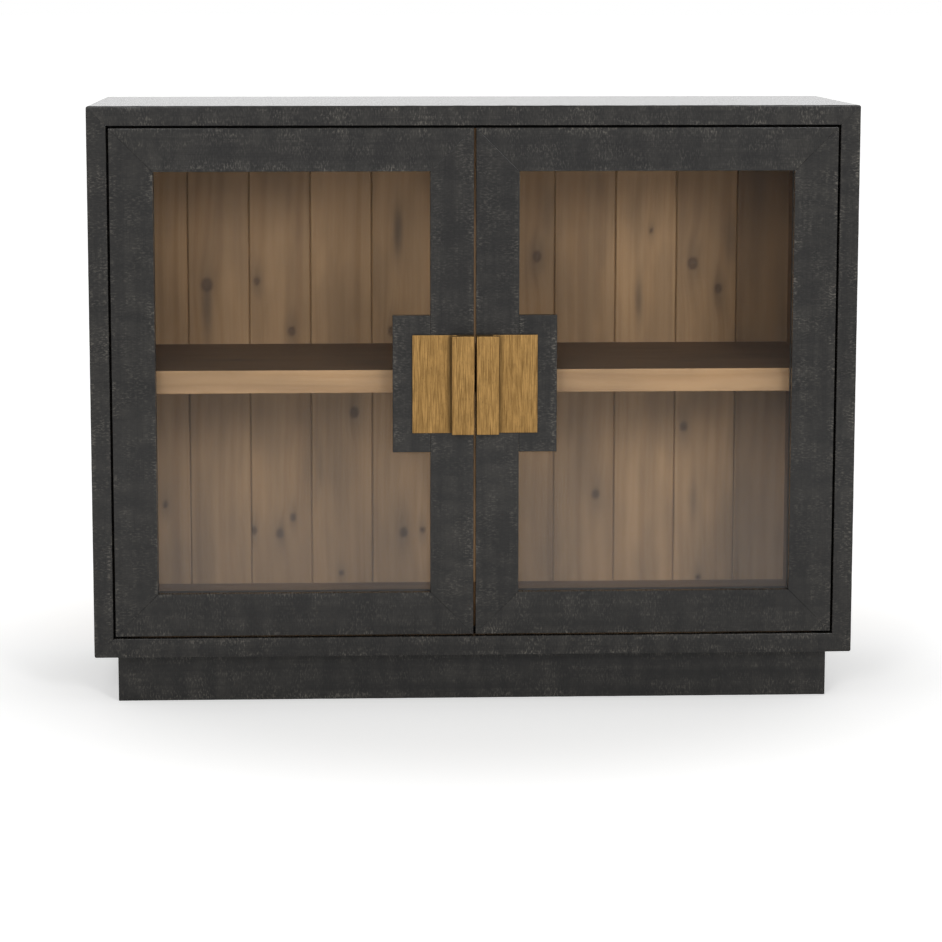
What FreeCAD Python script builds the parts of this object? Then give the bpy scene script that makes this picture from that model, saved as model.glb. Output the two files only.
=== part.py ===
"""Apothecary cabinet: a low timber box on a recessed plinth, with two glazed doors.

Millimetres. X runs along the front to the right, Y runs into the cabinet, Z is up.
The origin is on the floor, at the centre of the whole object, pulls included.
"""
import FreeCAD, Part

import os

import Sketcher

SIZES = {
    # the box
    "width": 1168, "depth": 406, "tall": 920, "board": 30,
    # the plinth it stands on
    "plinth_tall": 76, "plinth_inset": 34, "plinth_board": 20, "block_side": 40,
    # pine inside the box: side boards, floor and ceiling boards, back boards
    "lining": 16, "sheet_board": 6, "inside_start": 44,
    "back_thick": 12, "back_sink": 6, "back_lap": 12, "back_count": 11, "groove_size": 2.5,
    "joint_gap": 0.4, "tongue_long": 5, "tongue_thick": 4,
    # the loose shelf and the four supports under it
    "shelf_thick": 36, "shelf_top": 514.5, "shelf_play": 1, "support_inset": 60,
    "support_reach": 12, "support_wide": 14, "support_thick": 6, "peg_radius": 3, "peg_long": 9,
    # each door
    "gap": 3, "door_thick": 25, "frame_wide": 66, "rebate": 10, "glass_start": 12,
    "glass_thick": 4, "glass_play": 1, "bead_gap": 0.2,
    # the stepped block on the meeting stile and the pull on it
    "step_wide": 58, "step_tall": 210, "plate_wide": 94, "plate_thick": 4, "pull_tall": 150,
    "pull_proud": 24, "bar_wide": 34.5, "neck_wide": 26, "neck_proud": 9, "bar_ease": 1.2,
    "pull_screw_apart": 100, "screw_radius": 2, "screw_head": 4, "screw_sink": 3, "screw_bite": 12,
    # each single-pivot cup hinge
    "hinge_apart": 386, "pivot_inset": 25.5, "pivot_depth": 11.5, "pin_radius": 1.5,
    "bore_radius": 1.55, "cup_radius": 20, "cup_floor": 6, "cup_wall": 1, "rim_wide": 3,
    "rim_thick": 1.2, "cheek_half": 5, "cheek_start": 7.5, "cheek_thick": 3, "cheek_tall": 9,
    "arm_half": 2, "arm_tall": 12, "knuckle": 3.2, "crank": 25, "arm_end": 105,
    "foot_thick": 3, "foot_start": 56, "foot_end": 106, "foot_tall": 44,
    "riser_start": 62, "riser_end": 100, "riser_tall": 25,
    # fixings
    "nail_radius": 1.25, "nail_long": 30, "nail_head": 3, "nail_head_thick": 1,
    "wood_screw_radius": 1.75, "wood_screw_long": 14, "wood_screw_head": 3.5,
    "wood_screw_head_thick": 2, "wood_screw_apart": 32,
    # room round a shank in its hole, round a pin in its bore, and beyond a shank's end
    "hole_play": 0.05, "pin_play": 0.01, "end_play": 0.5,
}
LEFT = -1
RIGHT = 1
LEAST_CUT = 1.0  # cubic millimetres that every cut must at least remove

doc = FreeCAD.newDocument("apothecary_cabinet")
sheet = doc.addObject("Spreadsheet::Sheet", "Sizes")
for row, (alias, value) in enumerate(SIZES.items(), start=1):
    sheet.set(f"A{row}", alias)
    sheet.set(f"B{row}", str(value))
    sheet.setAlias(f"B{row}", alias)
doc.recompute()

# Places that many pieces share, as expressions on the sheet.
FRONT = "((Sizes.pull_proud - Sizes.depth) / 2)"
REAR = "((Sizes.depth + Sizes.pull_proud) / 2)"
HALF = "(Sizes.width / 2)"
INNER = "(Sizes.width / 2 - Sizes.board)"
LINED = "(Sizes.width / 2 - Sizes.board - Sizes.lining)"
BASE = "Sizes.plinth_tall"
FLOOR = "(Sizes.plinth_tall + Sizes.board)"
TOP = "Sizes.tall"
CEILING = "(Sizes.tall - Sizes.board)"
INSIDE = f"({FRONT} + Sizes.inside_start)"
BACK_FACE = f"({REAR} - Sizes.back_sink - Sizes.back_thick)"
DOOR_OUTER = f"({INNER} - Sizes.gap)"
DOOR_MEET = "(Sizes.gap / 2)"
DOOR_LOW = f"({FLOOR} + Sizes.gap)"
DOOR_HIGH = f"({CEILING} - Sizes.gap)"
DOOR_MID = f"(({DOOR_LOW} + {DOOR_HIGH}) / 2)"
DOOR_BACK = f"({FRONT} + Sizes.door_thick)"
PIVOT_X = f"({DOOR_OUTER} - Sizes.pivot_inset)"
PIVOT_Y = f"({FRONT} + Sizes.pivot_depth)"
HINGE_LEVELS = (f"({DOOR_MID} - Sizes.hinge_apart / 2)", f"({DOOR_MID} + Sizes.hinge_apart / 2)")


def new_body(label):
    """An empty body; its pieces may be several separate solids of one kind."""
    body = doc.addObject("PartDesign::Body", label)
    body.Label = label
    body.AllowCompound = True
    return body


def sketch_on(body, plane, start):
    """A sketch parallel to one of the body's own origin planes, at a distance along +X, +Y or +Z."""
    sketch = body.newObject("Sketcher::SketchObject", f"{body.Name}_sketch")
    support = [face for face in body.Origin.OriginFeatures if face.Role == plane][0]
    sketch.AttachmentSupport = [(support, "")]
    sketch.MapMode = "FlatFace"
    away = f"-({start})" if plane == "XZ_Plane" else start
    sketch.setExpression("AttachmentOffset.Base.z", away)
    return sketch


def outline(body, plane, start, corners):
    """A closed outline of straight lines, every corner tied to the sheet."""
    sketch = sketch_on(body, plane, start)
    count = len(corners)
    rough = [FreeCAD.Vector(10.0 * i + 1, 5.0 * i * i + 1, 0) for i in range(count)]
    for i in range(count):
        sketch.addGeometry(Part.LineSegment(rough[i], rough[(i + 1) % count]), False)
    for i in range(count):
        sketch.addConstraint(Sketcher.Constraint("Coincident", i, 2, (i + 1) % count, 1))
    for i in range(count):
        across = sketch.addConstraint(Sketcher.Constraint("DistanceX", -1, 1, i, 1, rough[i].x))
        along = sketch.addConstraint(Sketcher.Constraint("DistanceY", -1, 1, i, 1, rough[i].y))
        sketch.setExpression(f"Constraints[{across}]", str(corners[i][0]))
        sketch.setExpression(f"Constraints[{along}]", str(corners[i][1]))
    return sketch


def circle(body, plane, start, centre, radius):
    """A circle, its centre and radius tied to the sheet."""
    sketch = sketch_on(body, plane, start)
    sketch.addGeometry(Part.Circle(FreeCAD.Vector(1, 1, 0), FreeCAD.Vector(0, 0, 1), 1), False)
    across = sketch.addConstraint(Sketcher.Constraint("DistanceX", -1, 1, 0, 3, 1.0))
    along = sketch.addConstraint(Sketcher.Constraint("DistanceY", -1, 1, 0, 3, 1.0))
    size = sketch.addConstraint(Sketcher.Constraint("Radius", 0, 1.0))
    sketch.setExpression(f"Constraints[{across}]", centre[0])
    sketch.setExpression(f"Constraints[{along}]", centre[1])
    sketch.setExpression(f"Constraints[{size}]", radius)
    return sketch


def pad(body, sketch, length):
    """Fills the sketch towards +X, +Y or +Z."""
    feature = body.newObject("PartDesign::Pad", f"{body.Name}_pad")
    feature.Profile = sketch
    feature.setExpression("Length", length)
    feature.Reversed = "XZ" in sketch.AttachmentSupport[0][0].Role
    return feature


def cut(body, sketch, length):
    """Cuts the sketch away towards +X, +Y or +Z, and makes sure that something was removed."""
    doc.recompute()
    before = body.Shape.Volume
    feature = body.newObject("PartDesign::Pocket", f"{body.Name}_cut")
    feature.Profile = sketch
    feature.setExpression("Length", length)
    feature.Reversed = "XZ" not in sketch.AttachmentSupport[0][0].Role
    doc.recompute()
    if body.Shape.Volume > before - LEAST_CUT:
        raise SystemExit(f"{body.Label}: a cut removed nothing")
    return feature


def rectangle(low, high):
    """The four corners between two opposite ones."""
    return [(low[0], low[1]), (high[0], low[1]), (high[0], high[1]), (low[0], high[1])]


def slab(label, plane, start, length, corners):
    """A body that is one outline filled to one thickness."""
    body = new_body(label)
    pad(body, outline(body, plane, start, corners), length)
    return body


# The box: four boards mitred at the corners. Top and bottom are rebated behind for the back boards.
def level_board(label, outer, inward):
    """The top or bottom board; inward is -1 or 1, the way from its outer face to the inside."""
    body = new_body(label)
    for start, end, thick in (
        (FRONT, BACK_FACE, "Sizes.board"),
        (BACK_FACE, REAR, "(Sizes.board - Sizes.back_lap)"),
    ):
        inner = f"{outer} + {inward} * {thick}"
        corners = [
            (f"-{HALF}", outer),
            (HALF, outer),
            (f"{HALF} - {thick}", inner),
            (f"{thick} - {HALF}", inner),
        ]
        pad(body, outline(body, "XZ_Plane", start, corners), f"{end} - {start}")


def side_board(label, side):
    corners = [
        (f"{side} * {HALF}", BASE),
        (f"{side} * {HALF}", TOP),
        (f"{side} * {INNER}", CEILING),
        (f"{side} * {INNER}", FLOOR),
    ]
    slab(label, "XZ_Plane", FRONT, "Sizes.depth", corners)


# The plinth: four boards mitred at the corners, with a glue block in each corner.
def plinth():
    outer_x = f"({HALF} - Sizes.plinth_inset)"
    inner_x = f"({outer_x} - Sizes.plinth_board)"
    front_y = f"({FRONT} + Sizes.plinth_inset)"
    rear_y = f"({REAR} - Sizes.plinth_inset)"
    front_in = f"({front_y} + Sizes.plinth_board)"
    rear_in = f"({rear_y} - Sizes.plinth_board)"
    for label, outer_y, inner_y in (
        ("plinth_front", front_y, front_in),
        ("plinth_back", rear_y, rear_in),
    ):
        corners = [
            (f"-{outer_x}", outer_y),
            (outer_x, outer_y),
            (inner_x, inner_y),
            (f"-{inner_x}", inner_y),
        ]
        slab(label, "XY_Plane", "0", "Sizes.plinth_tall", corners)
    for label, side in (("plinth_left", LEFT), ("plinth_right", RIGHT)):
        corners = [
            (f"{side} * {outer_x}", front_y),
            (f"{side} * {outer_x}", rear_y),
            (f"{side} * {inner_x}", rear_in),
            (f"{side} * {inner_x}", front_in),
        ]
        slab(label, "XY_Plane", "0", "Sizes.plinth_tall", corners)
    blocks = new_body("plinth_corner_blocks")
    for side in (LEFT, RIGHT):
        for corner_y, inward in ((front_in, 1), (rear_in, -1)):
            low = (f"{side} * {inner_x}", corner_y)
            high = (
                f"{side} * ({inner_x} - Sizes.block_side)",
                f"{corner_y} + {inward} * Sizes.block_side",
            )
            corners = rectangle(low, high)
            pad(blocks, outline(blocks, "XY_Plane", "0", corners), "Sizes.plinth_tall")


# Pine inside: a floor and a ceiling sheet, two side boards between them, and the back boards.
def inside_sheets():
    for label, low in (
        ("floor_board", FLOOR),
        ("ceiling_board", f"{CEILING} - Sizes.sheet_board"),
    ):
        corners = rectangle((f"-{INNER}", INSIDE), (INNER, BACK_FACE))
        slab(label, "XY_Plane", low, "Sizes.sheet_board", corners)
    for label, side in (("left_lining", LEFT), ("right_lining", RIGHT)):
        low = (f"{side} * {INNER}", INSIDE)
        high = (f"{side} * {LINED}", BACK_FACE)
        height = f"{CEILING} - {FLOOR} - 2 * Sizes.sheet_board"
        bottom = f"{FLOOR} + Sizes.sheet_board"
        body = slab(label, "XY_Plane", bottom, height, rectangle(low, high))
        for place_y in support_rows():
            centre = (place_y, f"{support_top()} - Sizes.support_thick / 2")
            from_x = f"{side} * {LINED}" if side == LEFT else LINED
            start = f"{from_x} - Sizes.peg_long" if side == LEFT else from_x
            hole = circle(body, "YZ_Plane", start, centre, "Sizes.peg_radius + Sizes.hole_play")
            cut(body, hole, "Sizes.peg_long")


def back_board(number):
    """One vertical board: V-eased front edges, a tongue on its right edge, a groove on its left.

    The end boards have no tongue or groove against the sides of the box.
    """
    wide = f"(2 * {INNER} / Sizes.back_count)"
    left = f"(-{INNER} + {number - 1} * {wide} + Sizes.joint_gap / 2)"
    right = f"(-{INNER} + {number} * {wide} - Sizes.joint_gap / 2)"
    rear = f"({BACK_FACE} + Sizes.back_thick)"
    middle = f"({BACK_FACE} + Sizes.back_thick / 2 + Sizes.groove_size / 2)"
    near = f"({middle} - Sizes.tongue_thick / 2)"
    far = f"({middle} + Sizes.tongue_thick / 2)"
    ease = "Sizes.groove_size"
    corners = [(f"{left} + {ease}", BACK_FACE), (f"{right} - {ease}", BACK_FACE)]
    corners += [(right, f"{BACK_FACE} + {ease}")]
    if number < SIZES["back_count"]:
        tip = f"{right} + Sizes.tongue_long"
        corners += [(right, near), (tip, near), (tip, far), (right, far)]
    corners += [(right, rear), (left, rear)]
    if number > 1:
        deep = f"{left} + Sizes.tongue_long + Sizes.joint_gap"
        slack = "Sizes.joint_gap / 2"
        corners += [(left, f"{far} + {slack}"), (deep, f"{far} + {slack}")]
        corners += [(deep, f"{near} - {slack}"), (left, f"{near} - {slack}")]
    corners += [(left, f"{BACK_FACE} + {ease}")]
    bottom = f"{FLOOR} - Sizes.back_lap"
    height = f"{CEILING} - {FLOOR} + 2 * Sizes.back_lap"
    slab(f"back_board_{number:02d}", "XY_Plane", bottom, height, corners)


def back_nails():
    """Two nails in each back board, one into the top board and one into the bottom board."""
    body = new_body("back_board_nails")
    wide = f"(2 * {INNER} / Sizes.back_count)"
    head_start = f"({BACK_FACE} + Sizes.back_thick)"
    for number in range(SIZES["back_count"]):
        across = f"-{INNER} + ({number} + 0.5) * {wide}"
        for level in (f"{FLOOR} - Sizes.back_lap / 2", f"{CEILING} + Sizes.back_lap / 2"):
            centre = (across, level)
            start = f"{head_start} - Sizes.nail_long"
            pad(body, circle(body, "XZ_Plane", start, centre, "Sizes.nail_radius"), "Sizes.nail_long")
            head = circle(body, "XZ_Plane", head_start, centre, "Sizes.nail_head")
            pad(body, head, "Sizes.nail_head_thick")


# The shelf lies loose on four flat supports that are pegged into the side boards.
def support_rows():
    front_row = f"({INSIDE} + Sizes.support_inset)"
    rear_row = f"({BACK_FACE} - Sizes.support_inset)"
    return front_row, rear_row


def support_top():
    return "(Sizes.shelf_top - Sizes.shelf_thick)"


def shelf():
    play = "Sizes.shelf_play"
    low = (f"{play} - {LINED}", INSIDE)
    high = (f"{LINED} - {play}", f"{BACK_FACE} - {play}")
    slab("shelf_board", "XY_Plane", support_top(), "Sizes.shelf_thick", rectangle(low, high))
    supports = new_body("shelf_supports")
    reach = "(Sizes.peg_long - Sizes.end_play)"
    for side in (LEFT, RIGHT):
        for place_y in support_rows():
            low = (f"{side} * {LINED}", f"{place_y} - Sizes.support_wide / 2")
            high = (
                f"{side} * ({LINED} - Sizes.support_reach)",
                f"{place_y} + Sizes.support_wide / 2",
            )
            start = f"{support_top()} - Sizes.support_thick"
            corners = rectangle(low, high)
            pad(supports, outline(supports, "XY_Plane", start, corners), "Sizes.support_thick")
            centre = (place_y, f"{support_top()} - Sizes.support_thick / 2")
            peg_start = LINED if side == RIGHT else f"-{LINED} - {reach}"
            peg = circle(supports, "YZ_Plane", peg_start, centre, "Sizes.peg_radius")
            pad(supports, peg, reach)


# Each door: four members mitred at the corners and rebated behind for the glass.
def member(label, corners_at):
    """A frame member: full width in front of the glass, narrower by the rebate behind it."""
    body = new_body(label)
    behind = "(Sizes.frame_wide - Sizes.rebate)"
    middle = f"({FRONT} + Sizes.glass_start)"
    front_sketch = outline(body, "XZ_Plane", FRONT, corners_at("Sizes.frame_wide"))
    pad(body, front_sketch, "Sizes.glass_start")
    rear_sketch = outline(body, "XZ_Plane", middle, corners_at(behind))
    pad(body, rear_sketch, "Sizes.door_thick - Sizes.glass_start")
    return body


def door_frame(hand, side):
    def rail(outer, inward):
        return lambda wide: [
            (f"{side} * {DOOR_MEET}", outer),
            (f"{side} * {DOOR_OUTER}", outer),
            (f"{side} * ({DOOR_OUTER} - {wide})", f"{outer} + {inward} * {wide}"),
            (f"{side} * ({DOOR_MEET} + {wide})", f"{outer} + {inward} * {wide}"),
        ]

    def stile(outer, inward):
        return lambda wide: [
            (f"{side} * {outer}", DOOR_LOW),
            (f"{side} * {outer}", DOOR_HIGH),
            (f"{side} * ({outer} + {inward} * {wide})", f"{DOOR_HIGH} - {wide}"),
            (f"{side} * ({outer} + {inward} * {wide})", f"{DOOR_LOW} + {wide}"),
        ]

    member(f"{hand}_door_top_rail", rail(DOOR_HIGH, -1))
    member(f"{hand}_door_bottom_rail", rail(DOOR_LOW, 1))
    hinge_stile = member(f"{hand}_door_hinge_stile", stile(DOOR_OUTER, -1))
    for level in HINGE_LEVELS:
        centre = (f"{side} * {PIVOT_X}", level)
        mouth = circle(hinge_stile, "XZ_Plane", f"{FRONT} + Sizes.cup_floor", centre, "Sizes.cup_radius")
        cut(hinge_stile, mouth, "Sizes.door_thick - Sizes.cup_floor")
    meeting_stile = member(f"{hand}_door_meeting_stile", stile(DOOR_MEET, 1))
    for centre in pull_screw_places(side):
        clear = "Sizes.screw_radius + Sizes.hole_play"
        cut(meeting_stile, circle(meeting_stile, "XZ_Plane", FRONT, centre, clear), "Sizes.door_thick")
        sink_start = f"{DOOR_BACK} - Sizes.screw_sink"
        wide = "Sizes.screw_head + Sizes.hole_play"
        cut(meeting_stile, circle(meeting_stile, "XZ_Plane", sink_start, centre, wide), "Sizes.screw_sink")


def door_glazing(hand, side):
    """The pane in its rebate, and the four beads that hold it from behind."""
    behind = "(Sizes.frame_wide - Sizes.rebate)"
    play = "Sizes.glass_play"
    near = f"({DOOR_MEET} + {behind})"
    far = f"({DOOR_OUTER} - {behind})"
    low = f"({DOOR_LOW} + {behind})"
    high = f"({DOOR_HIGH} - {behind})"
    corners = rectangle(
        (f"{side} * ({near} + {play})", f"{low} + {play}"),
        (f"{side} * ({far} - {play})", f"{high} - {play}"),
    )
    slab(f"{hand}_door_glass", "XZ_Plane", f"{FRONT} + Sizes.glass_start", "Sizes.glass_thick", corners)
    beads = new_body(f"{hand}_door_glazing_beads")
    start = f"{FRONT} + Sizes.glass_start + Sizes.glass_thick"
    thick = "Sizes.door_thick - Sizes.glass_start - Sizes.glass_thick"
    wide = "Sizes.rebate"
    short = "(Sizes.rebate + Sizes.bead_gap)"
    for a, b in (
        ((near, low), (f"{near} + {wide}", high)),
        ((f"{far} - {wide}", low), (far, high)),
        ((f"{near} + {short}", low), (f"{far} - {short}", f"{low} + {wide}")),
        ((f"{near} + {short}", f"{high} - {wide}"), (f"{far} - {short}", high)),
    ):
        corners = rectangle((f"{side} * ({a[0]})", a[1]), (f"{side} * ({b[0]})", b[1]))
        pad(beads, outline(beads, "XZ_Plane", start, corners), thick)


# The stepped block widens the meeting stile at mid height; the pull covers block and stile.
def pull_screw_places(side):
    across = f"{side} * ({DOOR_MEET} + Sizes.neck_wide / 2)"
    apart = "Sizes.pull_screw_apart / 2"
    return (across, f"{DOOR_MID} - {apart}"), (across, f"{DOOR_MID} + {apart}")


def door_pull(hand, side):
    near = f"({DOOR_MEET} + Sizes.frame_wide)"
    half = "Sizes.step_tall / 2"
    corners = rectangle(
        (f"{side} * {near}", f"{DOOR_MID} - {half}"),
        (f"{side} * ({near} + Sizes.step_wide)", f"{DOOR_MID} + {half}"),
    )
    slab(f"{hand}_door_stepped_block", "XZ_Plane", FRONT, "Sizes.glass_start", corners)
    half = "Sizes.pull_tall / 2"
    corners = rectangle(
        (f"{side} * {DOOR_MEET}", f"{DOOR_MID} - {half}"),
        (f"{side} * ({DOOR_MEET} + Sizes.plate_wide)", f"{DOOR_MID} + {half}"),
    )
    plate_start = f"{FRONT} - Sizes.plate_thick"
    plate = slab(f"{hand}_door_pull_plate", "XZ_Plane", plate_start, "Sizes.plate_thick", corners)
    bar = pull_bar(hand, side)
    screws = new_body(f"{hand}_door_pull_screws")
    for centre in pull_screw_places(side):
        clear = "Sizes.screw_radius + Sizes.hole_play"
        cut(plate, circle(plate, "XZ_Plane", plate_start, centre, clear), "Sizes.plate_thick")
        tip = f"{plate_start} - Sizes.screw_bite"
        hole = circle(bar, "XZ_Plane", f"{tip} - Sizes.end_play", centre, clear)
        cut(bar, hole, "Sizes.screw_bite + Sizes.end_play")
        head_start = f"({DOOR_BACK} - Sizes.screw_sink)"
        shank = circle(screws, "XZ_Plane", tip, centre, "Sizes.screw_radius")
        pad(screws, shank, f"{head_start} - ({tip})")
        pad(screws, circle(screws, "XZ_Plane", head_start, centre, "Sizes.screw_head"), "Sizes.screw_sink")


def pull_bar(hand, side):
    """The raised bar: a neck on the plate and a wider head that fingers hook behind."""
    out = f"{FRONT} - Sizes.pull_proud"
    low = f"{FRONT} - Sizes.plate_thick"
    neck = f"{low} - Sizes.neck_proud"
    ease = "Sizes.bar_ease"

    def across(distance):
        return f"{side} * ({DOOR_MEET} + {distance})"

    corners = [
        (across("0"), low),
        (across("Sizes.neck_wide"), low),
        (across("Sizes.neck_wide"), neck),
        (across("Sizes.bar_wide"), neck),
        (across("Sizes.bar_wide"), f"{out} + {ease}"),
        (across(f"Sizes.bar_wide - {ease}"), out),
        (across(ease), out),
        (across("0"), f"{out} + {ease}"),
    ]
    start = f"{DOOR_MID} - Sizes.pull_tall / 2"
    return slab(f"{hand}_door_pull_bar", "XY_Plane", start, "Sizes.pull_tall", corners)


# The hinges: a cup let into each hinge stile, a pin across the cup, and a cranked arm from the pin
# to a raised mounting plate on the side board.
def hinge_cups(hand, side):
    cups = new_body(f"{hand}_door_hinge_cups")
    pins = new_body(f"{hand}_door_hinge_pins")
    floor_y = f"({FRONT} + Sizes.cup_floor)"
    hollow_y = f"({floor_y} + Sizes.cup_wall)"
    for level in HINGE_LEVELS:
        centre = (f"{side} * {PIVOT_X}", level)
        can = circle(cups, "XZ_Plane", floor_y, centre, "Sizes.cup_radius")
        pad(cups, can, f"{DOOR_BACK} - {floor_y}")
        rim = circle(cups, "XZ_Plane", DOOR_BACK, centre, "Sizes.cup_radius + Sizes.rim_wide")
        pad(cups, rim, "Sizes.rim_thick")
        hollow = circle(cups, "XZ_Plane", hollow_y, centre, "Sizes.cup_radius - Sizes.cup_wall")
        cut(cups, hollow, f"{DOOR_BACK} + Sizes.rim_thick - {hollow_y}")
        for way in (-1, 1):
            corners = rectangle(
                (f"{side} * {PIVOT_X} - Sizes.cheek_half", f"{level} + {way} * Sizes.cheek_start"),
                (
                    f"{side} * {PIVOT_X} + Sizes.cheek_half",
                    f"{level} + {way} * (Sizes.cheek_start + Sizes.cheek_thick)",
                ),
            )
            pad(cups, outline(cups, "XZ_Plane", hollow_y, corners), "Sizes.cheek_tall")
        middle = (f"{side} * {PIVOT_X}", PIVOT_Y)
        reach = "(Sizes.cheek_start + Sizes.cheek_thick)"
        hole = circle(cups, "XY_Plane", f"{level} - {reach}", middle, "Sizes.pin_radius + Sizes.pin_play")
        cut(cups, hole, f"2 * {reach}")
        pin = circle(pins, "XY_Plane", f"{level} - {reach}", middle, "Sizes.pin_radius")
        pad(pins, pin, f"2 * {reach}")


def hinge_arms(hand, side):
    """Cranked arms: out of the cup at 45 degrees, then straight back to the mounting plate."""
    body = new_body(f"{hand}_hinge_arms")
    slant = "(Sizes.arm_half * sqrt(2))"
    turn = "Sizes.crank"
    end = f"{FRONT} + Sizes.arm_end"

    def at(inward, back):
        return f"{side} * ({PIVOT_X} - ({inward}))", f"{PIVOT_Y} + {back}"

    for level in HINGE_LEVELS:
        start = f"{level} - Sizes.arm_tall / 2"
        straight_near = f"{turn} - Sizes.arm_half"
        straight_far = f"{turn} + Sizes.arm_half"
        corners = [
            at(f"{slant} / 2", f"-{slant} / 2"),
            at(straight_far, f"({straight_far} - {slant})"),
            (at(straight_far, "0")[0], end),
            (at(straight_near, "0")[0], end),
            at(straight_near, f"({straight_near} + {slant})"),
            at(f"-{slant} / 2", f"{slant} / 2"),
        ]
        pad(body, outline(body, "XY_Plane", start, corners), "Sizes.arm_tall")
        middle = (f"{side} * {PIVOT_X}", PIVOT_Y)
        pad(body, circle(body, "XY_Plane", start, middle, "Sizes.knuckle"), "Sizes.arm_tall")
        cut(body, circle(body, "XY_Plane", start, middle, "Sizes.bore_radius"), "Sizes.arm_tall")


def hinge_plates(hand, side):
    """Mounting plates: a foot screwed to the side board, and a riser that the arm is fixed on."""
    body = new_body(f"{hand}_hinge_plates")
    arm_face = f"({PIVOT_X} - Sizes.crank + Sizes.arm_half)"
    for level in HINGE_LEVELS:
        foot = rectangle(
            (f"{side} * {LINED}", f"{FRONT} + Sizes.foot_start"),
            (f"{side} * ({LINED} - Sizes.foot_thick)", f"{FRONT} + Sizes.foot_end"),
        )
        start = f"{level} - Sizes.foot_tall / 2"
        pad(body, outline(body, "XY_Plane", start, foot), "Sizes.foot_tall")
        riser = rectangle(
            (f"{side} * ({LINED} - Sizes.foot_thick)", f"{FRONT} + Sizes.riser_start"),
            (f"{side} * {arm_face}", f"{FRONT} + Sizes.riser_end"),
        )
        start = f"{level} - Sizes.riser_tall / 2"
        pad(body, outline(body, "XY_Plane", start, riser), "Sizes.riser_tall")


def hinge_screws():
    """Two wood screws through the foot of each mounting plate into the side board."""
    body = new_body("hinge_plate_screws")
    middle_y = f"{FRONT} + (Sizes.foot_start + Sizes.foot_end) / 2"
    face = f"({LINED} - Sizes.foot_thick)"
    for side in (LEFT, RIGHT):
        for level in HINGE_LEVELS:
            for way in (-1, 1):
                centre = (middle_y, f"{level} + {way} * Sizes.wood_screw_apart / 2")
                shank_start = face if side == RIGHT else f"-{face} - Sizes.wood_screw_long"
                head_start = f"{face} - Sizes.wood_screw_head_thick" if side == RIGHT else f"-{face}"
                shank = circle(body, "YZ_Plane", shank_start, centre, "Sizes.wood_screw_radius")
                pad(body, shank, "Sizes.wood_screw_long")
                head = circle(body, "YZ_Plane", head_start, centre, "Sizes.wood_screw_head")
                pad(body, head, "Sizes.wood_screw_head_thick")


level_board("top_panel", TOP, -1)
level_board("bottom_panel", BASE, 1)
side_board("left_side_panel", LEFT)
side_board("right_side_panel", RIGHT)
plinth()
inside_sheets()
for board_number in range(1, SIZES["back_count"] + 1):
    back_board(board_number)
back_nails()
shelf()
for door_hand, door_side in (("left", LEFT), ("right", RIGHT)):
    door_frame(door_hand, door_side)
    door_glazing(door_hand, door_side)
    door_pull(door_hand, door_side)
    hinge_cups(door_hand, door_side)
    hinge_arms(door_hand, door_side)
    hinge_plates(door_hand, door_side)
hinge_screws()
doc.recompute()

# Every object must have worked out, and every sub-part must be sound, before anything is written.
for item in doc.Objects:
    if "Invalid" in item.State or "Error" in item.State:
        raise SystemExit(f"{item.Label}: {item.State}")
bodies = [item for item in doc.Objects if item.TypeId == "PartDesign::Body"]
for body in bodies:
    if body.Shape.isNull() or not body.Shape.isValid() or not body.Shape.Solids:
        raise SystemExit(f"{body.Label}: bad shape")

os.makedirs("parts", exist_ok=True)
for body in bodies:
    body.Shape.exportStep(f"parts/{body.Label}.step")
    box = body.Shape.BoundBox
    print(
        f"{body.Label}: {len(body.Shape.Solids)} solids, {body.Shape.Volume:.0f} mm3,"
        f" x {box.XMin:.1f}..{box.XMax:.1f}, y {box.YMin:.1f}..{box.YMax:.1f},"
        f" z {box.ZMin:.1f}..{box.ZMax:.1f}"
    )
print(len(bodies), "parts")
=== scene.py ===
import math

import bpy
import numpy as np
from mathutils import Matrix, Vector


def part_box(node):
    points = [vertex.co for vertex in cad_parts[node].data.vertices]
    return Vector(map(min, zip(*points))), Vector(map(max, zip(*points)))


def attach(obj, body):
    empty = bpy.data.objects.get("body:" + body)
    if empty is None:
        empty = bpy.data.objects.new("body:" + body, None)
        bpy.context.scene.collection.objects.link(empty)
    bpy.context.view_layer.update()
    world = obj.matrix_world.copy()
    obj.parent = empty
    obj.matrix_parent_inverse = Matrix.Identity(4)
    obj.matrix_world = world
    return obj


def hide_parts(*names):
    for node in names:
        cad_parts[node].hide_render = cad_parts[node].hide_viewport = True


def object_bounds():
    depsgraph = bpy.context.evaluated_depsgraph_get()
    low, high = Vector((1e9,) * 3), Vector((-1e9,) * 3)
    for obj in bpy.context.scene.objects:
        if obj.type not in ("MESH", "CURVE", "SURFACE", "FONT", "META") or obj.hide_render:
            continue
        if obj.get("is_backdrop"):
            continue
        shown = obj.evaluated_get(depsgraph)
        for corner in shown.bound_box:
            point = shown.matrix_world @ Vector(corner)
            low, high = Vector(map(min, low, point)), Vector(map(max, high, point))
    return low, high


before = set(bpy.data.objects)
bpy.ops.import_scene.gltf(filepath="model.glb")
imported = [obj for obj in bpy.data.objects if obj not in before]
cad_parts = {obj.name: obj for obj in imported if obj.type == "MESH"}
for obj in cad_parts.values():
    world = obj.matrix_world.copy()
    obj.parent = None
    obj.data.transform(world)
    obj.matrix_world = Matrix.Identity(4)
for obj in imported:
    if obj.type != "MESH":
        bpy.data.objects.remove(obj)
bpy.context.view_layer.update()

# ---------------------------------------------------------------------------------------------
# The view and the light. A long lens a little above the cabinet's top and left of the middle; two
# broad lamps before the cabinet, left and right, and a white surround.
# ---------------------------------------------------------------------------------------------
FRONT_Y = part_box("top_panel")[0].y
TOP_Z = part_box("top_panel")[1].z
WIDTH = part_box("top_panel")[1].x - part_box("top_panel")[0].x

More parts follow.
